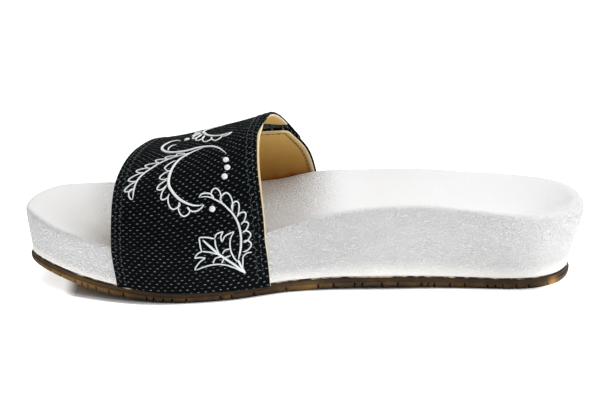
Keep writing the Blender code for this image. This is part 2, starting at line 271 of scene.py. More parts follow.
def finishMaterial(made, add, given):
    add("OutputMaterial", {"Surface": add("BsdfPrincipled", given)})
    return made


# colours laid over one another, each by its share
def layered(add, colour, *layers):
    for over, share in layers:
        colour = add("Mix:RGBA", {6: colour, 7: linear(over), "Factor": share})
    return colour


# cosine of a distance over its repeat
def waveOf(add, along, repeat):
    return add("Math:COSINE", {0: add("Math:MULTIPLY", {0: along, 1: 2 * math.pi / repeat})})


# Split leather with a white polyurethane face, embossed with a fine grain: small soft facets between short
# winding creases, which catch the light, a low sheen and hardly any change of colour of its own. Its colour
# carries painted shade in the creases, painted light towards the wall's foot and a painted cooler, paler
# light beside the strap.
leather = {
    # painted light and shade in these colours: the second lightens the wall's foot as light from the floor,
    # the third is a cooler, paler light beside the strap, the fourth is shade in the creases
    "white": "#e9e9e9", "foot": "#f7f5f0", "fresh": "#f5f8fc", "creaseShadeColour": "#d3d4d5", "roughness": 0.48,
    "facet": 1.15, "creaseWidth": 0.16, "creaseShadeStrength": 0.45, "creaseDull": 0.12,
    "grainHeight": 0.36, "fineShare": 1.2, "sway": 22.0, "swayHeight": 0.9,
}


def makeLeather():
    made, add = newMaterial("whiteGrainedLeather")
    place = add("TexCoord").outputs["Object"]
    much, low, fresh = (add("Attribute:" + name).outputs["Fac"] for name in ("grain", "low", "fresh"))
    # creases wind where a noise passes its middle value
    winding = add("TexNoise", {"Scale": 1 / (leather["facet"] * mm), "Detail": 1.0, "Distortion": 0.5,
                               "Vector": place})
    apart = add("Math:ABSOLUTE", {0: add("Math:SUBTRACT", {0: winding, 1: 0.5})})
    facet = add("MapRange:SMOOTHSTEP", {"From Max": leather["creaseWidth"], "Value": apart})
    fine = add("TexNoise", {"Scale": 2 / (leather["facet"] * mm), "Detail": 1.0, "Vector": place})
    height = add("Math:MULTIPLY_ADD", {0: fine, 1: leather["fineShare"], 2: facet})
    raised = add("Math:MULTIPLY", {0: height, 1: much})
    grain = add("Bump", {"Strength": 1.0, "Distance": leather["grainHeight"] * mm, "Height": raised})
    broad = add("TexNoise", {"Scale": 1 / (leather["sway"] * mm), "Detail": 2.0, "Vector": place})
    swayed = add("Bump", {"Strength": 0.25, "Distance": leather["swayHeight"] * mm, "Height": broad,
                          "Normal": grain})
    # painted shade: the creases are darker, the more so where there is more grain
    creaseShadeShare = add("MapRange", {"To Min": leather["creaseShadeStrength"], "To Max": 0.0, "Value": facet})
    paintedCreaseShade = add("Math:MULTIPLY", {0: creaseShadeShare, 1: much})
    # painted light towards the wall's foot and beside the strap, and painted shade in the creases
    colour = layered(add, linear(leather["white"]), (leather["foot"], low), (leather["fresh"], fresh),
                     (leather["creaseShadeColour"], paintedCreaseShade))
    gloss = add("MapRange", {"To Min": leather["roughness"] + leather["creaseDull"],
                             "To Max": leather["roughness"], "Value": facet})
    return finishMaterial(made, add, {"Base Color": colour, "Roughness": gloss, "Normal": swayed, "IOR": 1.5,
                                      "Specular IOR Level": 0.35})


# Footbed: rows go from the underside's middle line out to the foot, up the leaning wall, round the fold
# of the rim and down the cup of the bed to its middle line.
footbedCover = {
    "stations": 241, "wallRows": 22, "foldRows": 12, "bedRows": 22, "unevenness": 0.12,
    "square": 0.6,  # below 1 the fold is tighter than a circle
    # ahead of the strap the near rim is pulled down a little: how far, and where along X
    "rimDrop": 2.2, "dropped": (-129, -113, -90, -66),
    # the grain is worn smooth on the bed under the heel and the toes: how much, and where along X
    "worn": 0.85, "wornHeel": (-8, 24), "wornToe": (-108, -86),
    # beside the strap the grain and its painted crease shade stand out more, and the bed there has a painted
    # cooler, paler light
    "besideStrap": (-85, -60, 0, 40), "besideStrapWall": 0.35, "besideStrapBed": 0.2,
    # the wall's foot is pulled smooth and painted lighter, as light from the floor: up to what share of the
    # wall, and how much
    "footTop": 0.25, "footSmooth": 0.7,
}


def makeFootbed(finish):
    turns = np.linspace(0, np.pi, footbedCover["stations"])
    around = np.concatenate([turns, turns[1:-1][::-1]])

    def wallRing(rise):
        def pointOf(at, side):
            x, y = wallPlan(at, rise, side)
            drop = footbedCover["rimDrop"] * hump(x, *footbedCover["dropped"]) * (side == medial)
            return x, y, wallZ(x, at, rise, side) - drop * rise
        return ringOf(turns, pointOf)

    # middle line: X runs evenly with the turn, Y halfway between the two sides, Z from the table
    front, rear = toeX + sole["spineFront"], -toeX - sole["spineRear"]
    lineX = front + (rear - front) * turns / np.pi
    at = turnOf(lineX - toeX)
    lineY = sole["axisY"] + (soleTable("plan", 2, at) - soleTable("plan", 1, at)) / 2
    bed = np.stack([lineX, lineY, soleTable("heights", 3, at)], -1)
    count = len(around)
    fold = np.minimum(np.arange(count), count - np.arange(count))  # the middle line serves both sides

    walls = [wallRing(rise) for rise in np.linspace(0, 1, footbedCover["wallRows"])]
    rim, middle = walls[-1], bed[fold]
    inward = unit(middle[:, :2] - rim[:, :2])
    radius = soleTable("heights", 4, around)[:, None]
    angles = ease(np.linspace(0, 1, footbedCover["foldRows"] + 1)[1:], 0, 1) * np.pi / 2
    square = footbedCover["square"]
    folds = [np.column_stack([rim[:, :2] + inward * radius * (1 - np.cos(a) ** square),
                              rim[:, 2:] + radius * np.sin(a) ** square]) for a in angles]
    edge = folds[-1]
    shares = np.linspace(0, 1, footbedCover["bedRows"] + 1)[1:-1]
    beds = [np.column_stack([edge[:, :2] + (middle[:, :2] - edge[:, :2]) * s,
                             middle[:, 2] + (edge[:, 2] - middle[:, 2]) * (1 - s) ** sole["cupPower"]])
            for s in shares]
    rings = np.stack(walls + folds + beds)
    rows = np.arange(len(rings))

    # slow swells of the wrapped cover, as three crossed sines, fading out at the foot
    x, y, z = np.moveaxis(rings, -1, 0)
    swell = np.sin(x / 9.7 + z / 5.3) + np.sin(x / 6.1 - y / 8.9 + 1.3) + np.sin(y / 7.3 + z / 6.7 + 0.4)
    out = unit(np.cross(np.roll(rings, -1, 1) - np.roll(rings, 1, 1), np.gradient(rings, axis=0)))
    fade = np.clip(rows / 6, 0, 1)[:, None]
    rings = rings + out * (footbedCover["unevenness"] * swell * fade / 3)[..., None]

    under = np.column_stack([bed[:, :2], soleTop(lineX)])
    points = np.concatenate([under, rings.reshape(-1, 3), bed])
    ringIndex = len(under) + np.arange(rings.shape[0] * count).reshape(-1, count)
    index = np.vstack([fold, ringIndex, len(under) + rings.shape[0] * count + fold])

    def besideStrap(x):
        return hump(x, *footbedCover["besideStrap"])

    # one and what is added beside the strap, less what is worn off the bed
    def grainAt(x, onBed):
        worn = np.maximum(ease(x, *footbedCover["wornHeel"]), 1 - ease(x, *footbedCover["wornToe"]))
        more = footbedCover["besideStrapWall"] + footbedCover["besideStrapBed"] * onBed
        return (1 + more * besideStrap(x)) * (1 - onBed * footbedCover["worn"] * worn)

    onBed = np.clip((rows - len(walls)) / footbedCover["foldRows"], 0, 1)[:, None]
    # painted light: towards the wall's foot the colour is lighter, as light from the floor; the grain is
    # smoothed there too
    low = 1 - ease(rows / (len(walls) - 1), 0, footbedCover["footTop"])
    grain = grainAt(rings[..., 0], onBed) * (1 - footbedCover["footSmooth"] * low[:, None])
    grain = np.concatenate([np.ones(len(under)), grain.ravel(), grainAt(bed[:, 0], 1)])
    low = np.concatenate([np.ones(len(under)), np.repeat(low, count), np.zeros(len(bed))])
    # painted cooler, paler light on the bed beside the strap, and along the bed's middle line from the toe,
    # fading out between the middle and 40 mm behind it
    fresh = onBed * besideStrap(rings[..., 0])
    paintedCoolLightLine = 1 - ease(bed[:, 0], *footbedCover["besideStrap"][2:])
    fresh = np.concatenate([np.zeros(len(under)), fresh.ravel(), paintedCoolLightLine])
    makePiece("footbedCover", points, gridFaces(closed(index)), finish, "footbed",
              values={"grain": grain, "fresh": fresh, "low": low})


# Moulded gum rubber: dark brown where smooth, lighter caramel on the lugs, partly where they are scuffed and
# thin and partly as painted light where the translucent gum catches it, and darkest next to the floor as
# painted shade under the lugs; with a satin face, fine pitting and a ragged cream line of dried cement along
# the top edge.
rubber = {
    # colours by height on the edge, from the floor to the footbed; the darkest, lowest ones are painted shade
    # under the lugs
    "edge": ((0.0, "#150e08"), (0.1, "#20150b"), (0.2, "#3b2b1a"), (0.5, "#3d2d1c"), (0.72, "#35271b"),
             (1.0, "#2f2116")),
    "caramel": "#ab8148", "cement": "#e6dcc6", "roughness": 0.55,
    "mottle": 5.0, "pit": 0.5, "pitDepth": 0.1, "patches": 0.16, "ragged": 0.16,
}


def makeRubber():
    made, add = newMaterial("brownGumRubber")
    place = add("TexCoord").outputs["Object"]
    level, worn, glue = (add("Attribute:" + name).outputs["Fac"] for name in ("level", "worn", "glue"))
    mottle = add("TexNoise", {"Scale": 1 / (rubber["mottle"] * mm), "Detail": 4.0, "Vector": place})
    pits = add("TexNoise", {"Scale": 1 / (rubber["pit"] * mm), "Detail": 3.0, "Vector": place})
    base = add("ValToRGB", {"Fac": level})
    fillRamp(base.color_ramp, rubber["edge"], 1.0)
    # the lugs are lighter in patches and at the worn places: partly the rubber's own scuffs, partly painted
    # light where the translucent gum catches it
    lug = add("MapRange", {"From Min": 0.95, "From Max": 0.4, "Value": level})
    patch = add("MapRange", {"From Min": 0.45, "From Max": 0.75, "To Max": rubber["patches"],
                             "Value": mottle})
    tone = add("Math:ADD", {"use_clamp": True, 0: patch, 1: worn})
    onLug = add("Math:MULTIPLY", {0: tone, 1: lug})
    # the cement shows above a ragged line
    reach = add("Math:ADD", {0: level, 1: glue})
    ragged = add("Math:MULTIPLY_ADD", {0: mottle, 1: rubber["ragged"], 2: reach})
    cement = add("MapRange", {"From Min": 1.035, "From Max": 1.06, "Value": ragged})
    colour = layered(add, base, (rubber["caramel"], onLug), (rubber["cement"], cement))
    bump = add("Bump", {"Strength": 0.4, "Distance": rubber["pitDepth"] * mm, "Height": pits})
    gloss = add("MapRange", {"To Min": rubber["roughness"] - 0.08, "To Max": rubber["roughness"] + 0.15,
                             "Value": mottle})
    return finishMaterial(made, add, {"Base Color": colour, "Roughness": gloss, "Normal": bump, "IOR": 1.52,
                                      "Specular IOR Level": 0.14})


# Outsole: each ring is the footbed's foot outline, set in by an inset, at a height; where a notch crosses,
# the rings of the lugs are lifted to the notch's roof.
outsoleRubber = {
    "edge": 0.7, "stations": 301,
    # notches: width, depth, how far they are set in, run of each flank outside and inside, clear way beside
    "notchWidth": 0.75, "notchDepth": 2.2, "notchIn": 0.35, "flank": (0.16, 0.14), "clear": 0.5,
    # where the notches open on the near side, along X
    "notches": (-118, -113, -106, -102.7, -100, -96, -90, -83.3, -72.5, -69.4, -65, -61, -54.5, -39, -34, -24,
                -9.2, 5.7, 12.8, 22.6, 26, 35.2, 42.5, 53.5, 56.7, 59.5, 66.7, 73.6, 84, 87.6, 91, 97.3,
                103.2, 112),
    # inset and height of each ring; the first five belong to the lugs
    "rings": ((1.2, 0.0), (0.7, 0.08), (0.36, 0.4), (0.12, 1.3), (0.02, 2.2), (0.0, 2.5), (0.16, 2.72),
              (0.5, 2.9), (0.46, 3.6), (0.5, 4.4), (0.6, 4.66), (0.9, 4.8), (4.0, 4.8)),
    "lugRings": 5,
    # scuffed places, partly painted light where the lugs catch it, and places with more cement: where along
    # X, half length, how much
    "scuffAndLightAt": ((2.0, 4.0, 0.32), (-4.0, 6.0, 0.18), (114.5, 2.2, 1.0), (-104.0, 18.0, 0.36),
               (64.0, 14.0, 0.07)),
    "gluedAt": ((-81.0, 2.2, 0.09), (32.0, 10.0, 0.03)),
}


def makeOutsole(finish):
    front, rear = wallEnds(0.0)
    front, rear = front - outsoleRubber["edge"], rear + outsoleRubber["edge"]
    notches = np.array(outsoleRubber["notches"], float)
    half = outsoleRubber["notchWidth"] / 2
    out, into = outsoleRubber["flank"]
    across = np.array([-half - out, -half, -half + into, half - into, half, half + out])
    plain = front + (rear - front) * (1 - np.cos(np.linspace(0, np.pi, outsoleRubber["stations"]))) / 2
    plain = plain[np.abs(plain[:, None] - notches).min(1) > half + outsoleRubber["clear"]]
    stations = np.concatenate([plain, (notches[:, None] + across).ravel()])
    cut = np.concatenate([np.zeros(len(plain)), np.tile([0, 0.5, 1, 1, 0.5, 0], len(notches))])
    order = np.argsort(stations)
    stations, cut = stations[order], cut[order]
    turns = turnOf(stations - front, rear - front)

    def soleRing(inset, height, lugRing):
        def pointOf(at, side):
            notch = np.interp(at, turns, cut) if lugRing is not None else 0 * at
            x = front + inset + (rear - front - 2 * inset) * (1 - np.cos(at)) / 2
            setIn = inset + outsoleRubber["notchIn"] * notch
            y = wallPlan(at, 0.0, side)[1] + side * (outsoleRubber["edge"] - setIn) * np.sin(at)
            roof = outsoleRubber["notchDepth"] + 0.02 * (lugRing or 0)  # a step keeps the rings apart there
            z = height + np.clip(roof - height, 0, None) * notch
            return x, y, soleRise(x) + z * soleThickness(x) / sole["thickness"]
        return ringOf(turns, pointOf)

    rings = np.stack([soleRing(inset, height, k if k < outsoleRubber["lugRings"] else None)
                      for k, (inset, height) in enumerate(outsoleRubber["rings"])])
    count = rings.shape[1]
    fold = np.minimum(np.arange(count), count - np.arange(count))
    mirror = (count - np.arange(len(turns))) % count
    lowLine = (rings[0][:len(turns)] + rings[0][mirror]) / 2
    topLine = (rings[-1][:len(turns)] + rings[-1][mirror]) / 2
    points = np.concatenate([lowLine[1:-1], rings.reshape(-1, 3), topLine[1:-1]])
    base, top = len(turns) - 2, len(turns) - 2 + rings.shape[0] * count
    ringIndex = base + np.arange(rings.shape[0] * count).reshape(-1, count)
    ends = (fold == 0) | (fold == len(turns) - 1)
    index = np.vstack([np.where(ends, ringIndex[0], fold - 1), ringIndex,
                       np.where(ends, ringIndex[-1], top + fold - 1)])
    faces = [f for f in gridFaces(closed(index)) if len(f) > 2]
    heights = np.repeat([h for _, h in outsoleRubber["rings"]], count) / sole["thickness"]
    level = np.concatenate([np.zeros(base), heights, np.ones(base)])

    # places along X, each fading as a bell
    def bells(places):
        return sum(much * np.exp(-((points[:, 0] - at) / reach) ** 2) for at, reach, much in places)

    makePiece("outsoleRubber", points, faces, finish, "outsole",
              values={"level": level, "worn": bells(outsoleRubber["scuffAndLightAt"]),
                      "glue": bells(outsoleRubber["gluedAt"])})


# Strap: places run from the medial side of the sole, 0, over the rim, 1, and the top, 3, to the lateral
# rim, 5, and sole, 6; across runs from its front edge, 0, to its back edge, 1.
strap = {
    "thickness": 2.1, "skived": 1.3, "tape": 0.7, "lateralTop": 3.9, "medialEnd": 4.33, "medialBow": 0.12,
    "cutWidth": 66.0,  # width of the flat cut that the cloth's pattern lies on
    "footLap": 1.1,  # how far the back of the medial band's foot laps over the outsole's edge
    # place, then the front and the back edge from the toe
    "edges": np.array([
        [0, 44, 113.7], [1, 42.1, 111.5], [2, 43.2, 108.8], [2.5, 46.4, 109.2], [3, 51.2, 112.1],
        [3.5, 57.5, 115.7], [4, 62, 122], [4.5, 64, 131.6], [5, 64.5, 135.4], [6, 65.5, 136.9]]),
    # across, then Y and Z of the arch's top and the squareness of its medial and lateral quarter
    "instep": np.array([
        [0, -3, 58.8, 2.1, 1.9], [0.25, -3, 61.5, 2.4, 1.85], [0.5, -3, 65.9, 2.6, 1.75],
        [0.75, -3, 70, 2.7, 1.72], [1, -3, 74.6, 2.76, 1.7]]),
}


def strapEdge(place, columnAt):
    return curveThrough(strap["edges"][:, 0], strap["edges"][:, columnAt], place)


def strapWidth(place):
    return strapEdge(place, 2) - strapEdge(place, 1)


def strapX(across, place):
    return toeX + strapEdge(place, 1) + strapWidth(place) * across


def instep(across, columnAt):
    return curveThrough(strap["instep"][:, 0], strap["instep"][:, columnAt], across)


# one side of the inner face: along the wall to the rim, then a quarter of a superellipse to the top
def strapHalf(across, place, side):
    rimPlace = 1 if side == medial else 5
    above = side * (rimPlace - place)
    rise = np.clip(1 + above, 0, 1)
    x = strapX(across, np.where(above < 0, place, rimPlace))
    turn = wallTurn(x, rise)
    wall = wallPlan(turn, rise, side)[1] + side * sole["gap"]
    height = wallZ(x, turn, rise, side)
    angle = np.clip(above / 2, 0, 1) * np.pi / 2
    power = 2 / instep(across, 3 if side == medial else 4)
    topY = sole["axisY"] + instep(across, 1)
    return (topY + (wall - topY) * np.cos(angle) ** power,
            height + (instep(across, 2) - height) * np.sin(angle) ** power)


# inner face: the medial half up to the top, the lateral half beyond it
def strapBase(across, place):
    near, far = strapHalf(across, place, medial), strapHalf(across, place, lateral)
    y, z = (np.where(place <= 3, n, f) for n, f in zip(near, far))
    return np.stack([strapX(across, place), y, z], -1)


# outward normal, as the cross product of small steps across and around
def strapNormal(across, place):
    inner = np.clip(across, 0.01, 0.99)
    low, high = np.maximum(place - 0.01, 0), np.minimum(place + 0.01, 6)
    along = strapBase(inner + 0.01, place) - strapBase(inner - 0.01, place)
    return unit(np.cross(along, strapBase(inner, high) - strapBase(inner, low)))


# inner face moved out along its normal
def strapFace(across, place, offset):
    across, place = np.broadcast_arrays(across, place)
    return strapBase(across, place) + strapNormal(across, place) * np.asarray(offset)[..., None]


# the medial band leaves the foot in an S on its way over the lateral band, and is pressed down at its end
def standOff(place):
    return ((strap["thickness"] + strap["tape"]) * ease(place, 3, strap["lateralTop"])
            - strap["tape"] * ease(place, 4, strap["medialEnd"]))


# full thickness above the rim, thinning evenly down to the skived foot
def bandThickness(place):
    below = np.clip(np.maximum(1 - place, place - 5), 0, 1)
    return strap["thickness"] + (strap["skived"] - strap["thickness"]) * below


# length along the strap's middle, in millimetres from the medial side of the sole
stepsAround = np.linspace(0, 6, 1201)
middleLine = strapFace(0.5 + 0 * stepsAround, stepsAround, bandThickness(stepsAround))
lengthAround = runOf(middleLine)


def lengthOf(place):
    return np.interp(place, stepsAround, lengthAround)


def placeOf(length):
    return np.interp(length, lengthAround, stepsAround)


# the two bands: where they start at the sole and where their free ends are, how much the end lies back
# ahead of a share of the width, its corners' radius, and how much thinner it gets there
bands = {
    "medial": {"sole": 0.0, "end": strap["medialEnd"], "bow": strap["medialBow"], "back": (0.0, 0.5),
               "corner": 2.6, "lifted": 1, "thinned": 0.8},
    "lateral": {"sole": 6.0, "end": 4.005, "bow": 0.0, "back": (0.15, 0.72), "corner": 3.0, "lifted": 0,
                "thinned": 0.0},
    # the medial lining stops where the hook tape begins
    "medialLining": {"sole": 0.0, "end": 4.0, "bow": 0.0, "back": (0.25, 0.78), "corner": 0.8, "lifted": 1,
                     "thinned": 0.0},
}


# how far a band's end lies back at a place across, an S up to the back edge
def layBack(band, across):
    much, start = band["back"]
    return much * (1 - ease(across, start, 1.0))


# layer of a band: rows run from the sole to the free end, where the sides draw in along a circle; each row
# is a flat loop with rounded edges, between two heights given as shares of the band's thickness
def bandLayer(band, low, high, setIn, endIn, edgeRound, rows, columns, relief, groove):
    start, end = band["sole"], band["end"]
    total = abs(lengthOf(end) - lengthOf(start)) - endIn
    toEnd = total * (1 - np.linspace(0, 1, rows)) ** 1.15  # rows stand closer towards the free end
    corner = band["corner"]
    drawIn = corner - np.sqrt(np.clip(corner ** 2 - np.clip(corner - toEnd, 0, None) ** 2, 0, None))
    direction = np.sign(end - start)
    row = placeOf(lengthOf(end) - direction * (toEnd + endIn))
    full = strapWidth(row)
    frontIn, backIn = (np.broadcast_to(each(row), row.shape) + drawIn for each in setIn)
    width = full - frontIn - backIn

    angle = np.linspace(0, np.pi / 2, 6)
    inset = edgeRound * (1 - np.cos(angle))
    depth = edgeRound * (1 - np.sin(angle))
    share = np.linspace(0, 1, columns)[1:-1]
    fixed = np.concatenate([inset, edgeRound * (1 - 2 * share), -inset[::-1]])
    grows = np.concatenate([0 * inset, share, 0 * inset + 1])
    drop = np.concatenate([depth, 0 * share, depth[::-1]])
    fromFront = fixed + grows * width[:, None]
    across = (frontIn[:, None] + fromFront) / full[:, None]
    bow = band["bow"] * 4 * across * (1 - across) - layBack(band, across)
    place = row[:, None] + bow * ((row - start) / (end - start))[:, None]
    thick = bandThickness(place) - band["thinned"] * ease(place, end - 0.4, end)
    lift = standOff(place) * band["lifted"]
    toEdge = np.minimum(np.minimum(fromFront, width[:, None] - fromFront), toEnd[:, None])
    outer = strapFace(across, place, lift + high * thick - drop + relief(toEdge))
    inner = strapFace(across, place, lift + low * thick + 0.3 * drop + groove(toEdge))
    loops = np.concatenate([outer, inner[:, ::-1]], 1)
    lap = strap["footLap"] * across ** 2 * (1 - ease(place, 0, 0.35))
    loops[..., 2] -= np.concatenate([lap, lap[:, ::-1]], 1)
    uv = np.stack([across * strap["cutWidth"], lengthOf(place)], -1)
    uv = np.concatenate([uv, uv[:, ::-1]], 1)
    toEdge = np.concatenate([toEdge, toEdge[:, ::-1]], 1)
    count = loops.shape[1]
    index = np.arange(rows * count).reshape(rows, count)
    half = count // 2
    faces = gridFaces(closed(index))
    for cap, flip in ((index[0], 1), (index[-1], -1)):
        strip = np.stack([cap[:half], cap[half:][::-1]])
        faces += [f[::flip] for f in gridFaces(strip)]
    return loops.reshape(-1, 3), faces, uv.reshape(-1, 2), toEdge.ravel()


# no relief at all
def flat(toEdge):
    return 0 * toEdge


# Polyester jacquard upholstery cloth: a black ground with light floats in staggered rows; the ground's
# ribs and the raised floats scatter light softly, and it has almost no gloss.
cloth = {
    # the rib colour is painted light on the ridges of the ribs
    "ground": "#050607", "rib": "#0d1113", "fleck": "#868e8f", "roughness": 0.86,
    # repeats in millimetres; the ribs are drawn coarser than real ones, which would be too fine to show
    "fleckAcross": 3.1, "fleckAround": 3.3, "ribPitch": 0.78, "wobble": 0.9, "lean": 0.07,
    "fleckFrom": 0.34, "fleckFull": 0.56, "dimmest": 0.12, "floatHeight": 1.4, "relief": 0.2,
}


def makeCloth():
    made, add = newMaterial("blackJacquardCloth")
    cut = add("UVMap:cut")
    wobble = add("TexNoise", {"Scale": 0.35, "Detail": 2.0, "Vector": cut})
    shift = add("VectorMath:SCALE", {0: wobble.outputs["Color"], "Scale": cloth["wobble"]})
    axes = add("SeparateXYZ", {"Vector": add("VectorMath:ADD", {0: cut, 1: shift})})
    x, y = axes.outputs["X"], axes.outputs["Y"]
    # floats lie a little askew, so the rows' phase leans with the distance across
    lean = add("Math:MULTIPLY_ADD", {0: x, 1: -cloth["lean"], 2: y})
    waveX, waveY = waveOf(add, x, cloth["fleckAcross"]), waveOf(add, lean, cloth["fleckAround"])
    both = add("Math:MULTIPLY", {0: waveX, 1: waveY})
    fleck = add("Math:MULTIPLY", {0: both, 1: add("Math:POWER", {0: waveY, 1: 8.0})})
    mask = add("MapRange:SMOOTHSTEP", {"From Min": cloth["fleckFrom"], "From Max": cloth["fleckFull"],
                                       "Value": fleck})
    patchy = add("TexNoise", {"Scale": 0.8, "Detail": 1.0, "Vector": cut})
    bright = add("MapRange", {"From Min": 0.33, "From Max": 0.66, "To Min": cloth["dimmest"],
                              "Value": patchy})
    shown = add("Math:MULTIPLY", {0: mask, 1: bright})
    ribs = [waveOf(add, along, cloth["ribPitch"]) for along in (y, x)]
    basket = add("Math:MULTIPLY", {0: ribs[0], 1: ribs[1]})
    # painted light: the ribs' ridges are a little lighter than the ground
    lit = add("MapRange", {"From Min": -1.0, "Value": basket})
    colour = layered(add, linear(cloth["ground"]), (cloth["rib"], lit), (cloth["fleck"], shown))
    height = add("Math:MULTIPLY_ADD", {0: mask, 1: cloth["floatHeight"], 2: lit})
    bump = add("Bump", {"Strength": 0.8, "Distance": cloth["relief"] * mm, "Height": height})
    return finishMaterial(made, add, {"Base Color": colour, "Roughness": cloth["roughness"], "Normal": bump,
                                      "IOR": 1.45, "Specular IOR Level": 0.03})


# Vegetable-tanned lining leather: smooth tan with fine pores, darker and redder down inside the strap as
# painted shade towards the bed, paler at its cut edge, and dark in the groove of its stitches.
lining = {
    # painted shade: colours by height above the bed in metres, inside the strap, and the end of their scale
    "inside": ((0.03, "#905018"), (0.0325, "#ad782d"), (0.044, "#cb9a48"), (0.058, "#e4bb6a")), "reach": 0.06,
    "bedSlope": 0.2, "bedAt": 0.004,  # the bed rises by a fifth towards the heel there
    "cutEdge": "#f0e2bd", "groove": "#6d4c1c", "roughness": 0.5, "edgeRound": 0.25,
    "pore": 0.6, "poreDepth": 0.08, "cloud": 9.0, "drift": 0.008,
}


def makeLining():
    made, add = newMaterial("tanLiningLeather")
    place = add("TexCoord").outputs["Object"]
    edge, sewn = (add("Attribute:" + name).outputs["Fac"] for name in ("toEdge", "sewn"))
    axes = add("SeparateXYZ", {"Vector": place})
    cloud = add("TexNoise", {"Scale": 1 / (lining["cloud"] * mm), "Detail": 4.0, "Vector": place})
    pores = add("TexVoronoi", {"Scale": 1 / (lining["pore"] * mm), "Vector": place})
    # painted shade follows the slanted line where the lining meets the bed, darkest there
    lower = add("Math:MULTIPLY_ADD", {0: axes.outputs["X"], 1: -lining["bedSlope"], 2: -lining["bedAt"]})
    above = add("Math:ADD", {0: axes.outputs["Z"], 1: lower})
    drift = add("Math:MULTIPLY_ADD", {0: cloud, 1: lining["drift"], 2: -lining["drift"] / 2})
    level = add("Math:ADD", {0: above, 1: drift})
    inside = add("ValToRGB", {"Fac": add("Math:MULTIPLY", {0: level, 1: 1 / lining["reach"]})})
    fillRamp(inside.color_ramp, lining["inside"], lining["reach"])
    pale = add("MapRange", {"From Min": 0.03, "From Max": 0.05, "To Min": 1.0, "To Max": 0.6,
                            "Value": axes.outputs["Z"]})
    rim = add("MapRange", {"From Min": 2.0, "From Max": 0.3, "To Max": pale, "Value": edge})
    # only the lateral lining is sewn near its edge
    colour = layered(add, inside, (lining["cutEdge"], rim), (lining["groove"], sewn))
    bump = add("Bump", {"Strength": 0.35, "Distance": lining["poreDepth"] * mm, "Height": pores})
    return finishMaterial(made, add, {"Base Color": colour, "Roughness": lining["roughness"], "Normal": bump,
                                      "IOR": 1.5, "Specular IOR Level": 0.4})


# Insets of the cloth's and the lining's edges from the strap's own, in millimetres: along the back of the
# medial band the lining shows beyond the cloth, and on the lateral band the cloth shows beyond the lining.
strapLayers = {
    "liningTop": 0.42, "clothFoot": 0.45, "edgeRound": 0.7, "hem": 4.6, "hemRise": 0.2, "trough": 0.2,
    "clothColumns": 96, "liningColumns": 90, "medialRows": 230, "lateralRows": 130,
    "liningShown": (0.35, 1.0), "clothLap": 0.4, "liningShort": 1.1, "lateralClothShown": 0.8,
}


# the hem is doubled cloth, a step up near the edges, and the seam beside it draws a soft trough
def hemRelief(toEdge):
    hem = strapLayers["hemRise"] * (1 - ease(toEdge, strapLayers["hem"] - 0.4, strapLayers["hem"] + 0.6))
    seam = strapLayers["trough"] * np.exp(-((toEdge - strapLayers["hem"]) / 0.6) ** 2)
    return hem - seam - strapLayers["hemRise"]


# share of the lateral lining's seam: a narrow bell at the stitches
def seamShare(toEdge):
    return np.exp(-((toEdge - liningStitch["inset"]) / liningStitch["grooveHalf"]) ** 2)


# the stitches draw the lateral lining into a groove
def liningGroove(toEdge):
    return liningStitch["grooveDepth"] * seamShare(toEdge)


# the lining shows more above the rim than down at the sole, and over the top the cloth laps it
def liningShown(place):
    low, high = strapLayers["liningShown"]
    shown = (low + (high - low) * ease(place, 0.3, 1.6)) * (1 - ease(place, 2.5, 3.0))
    return shown - strapLayers["clothLap"] * hump(place, 2.7, 3.1, 3.1, 3.6)


# over the top the lining stops short of the cloth's edge
def liningBack(place):
    return strapLayers["liningShort"] * ease(place, 2.65, 3.0) * (1 - 0.8 * ease(place, 3.0, 3.5))


# the same inset all along an edge
def even(inset):
    return lambda place: inset + 0 * place


def makeStrap(clothFinish, liningFinish):
    shown, long, short = (strapLayers[key] for key in ("lateralClothShown", "medialRows", "lateralRows"))
    for name, band, cover, edges, endIn, rows in (
            ("medialStrapCloth", "medial", True, (even(0.25), liningShown), 0.0, long),
            ("lateralStrapCloth", "lateral", True, (even(0.1), even(0.0)), 0.0, short),
            ("medialStrapLining", "medialLining", False, (even(0.0), liningBack), 0.0, long),
            ("lateralStrapLining", "lateral", False, (even(shown), even(shown)), 0.4, short)):
        isSewn = name == "lateralStrapLining"
        low, high = (strapLayers["clothFoot"], 1.0) if cover else (0.0, strapLayers["liningTop"])
        points, faces, uv, toEdge = bandLayer(
            bands[band], low, high, edges, endIn, strapLayers["edgeRound"] if cover else lining["edgeRound"],
            rows, strapLayers["clothColumns" if cover else "liningColumns"], hemRelief if cover else flat,
            liningGroove if isSewn else flat)
        sewn = liningStitch["grooveDark"] * seamShare(toEdge) if isSewn else flat(toEdge)
        makePiece(name, points, faces, clothFinish if cover else liningFinish,
                  "upper_strap", uv, {"toEdge": toEdge, "sewn": sewn})


# Nylon hook tape: a matt black ground of short hooks in rows, which reads as a rough nap; the light grey tips
# of the hooks are a painted highlight.
hooks = {
    "black": "#0b0b0c", "tip": "#a2a6a8", "roughness": 0.8, "row": 1.6,
    "gap": 0.02, "foot": 4.11, "side": 0.012,  # two places along the strap, and a share across it
    # depths below the medial band: the tape's back, its face, and how much further the hooks reach
    "back": 0.1, "face": 0.55, "hook": 0.45, "columns": 150, "rows": 60,
}


def makeHookFinish():
    made, add = newMaterial("blackHookTape")
    nap = add("TexVoronoi", {"Scale": 2.2 / hooks["row"], "Vector": add("UVMap:cut")})
    # painted highlight: the hooks' tips are light grey, and the same mask raises them
    hookTipsAndHighlight = add("MapRange", {"From Min": 0.45, "From Max": 0.05, "Value": nap})
    bump = add("Bump", {"Strength": 1.0, "Distance": 0.5 * mm, "Height": hookTipsAndHighlight})
    colour = layered(add, linear(hooks["black"]), (hooks["tip"], hookTipsAndHighlight))
    return finishMaterial(made, add, {"Base Color": colour, "Roughness": hooks["roughness"], "Normal": bump,
                                      "IOR": 1.53})


